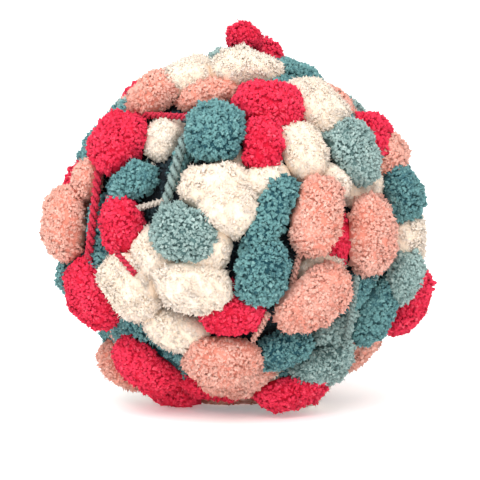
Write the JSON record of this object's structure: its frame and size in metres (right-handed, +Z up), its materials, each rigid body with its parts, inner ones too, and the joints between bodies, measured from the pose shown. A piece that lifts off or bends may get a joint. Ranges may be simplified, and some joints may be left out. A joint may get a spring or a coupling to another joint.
{
  "type": "ball of pom pom yarn",
  "caption": "Ball of pom pom yarn: soft oval tufts of cut pile in several dyes, wound over one another on a thin linking thread, with a small flat spot to rest on.",
  "frame": {"origin": "centre of the bounding box's floor plane, where the ball's flat spot rests", "axes": "+Z up from the flat spot; -Y toward the side that the picture shows; +X to that view's right"},
  "size_m": [0.1532, 0.1552, 0.152],
  "materials": {
    "yarn": "soft cut pile"
  },
  "bodies": {
    "root": {"yarn_ball": "yarn"}
  },
  "joints": []
}
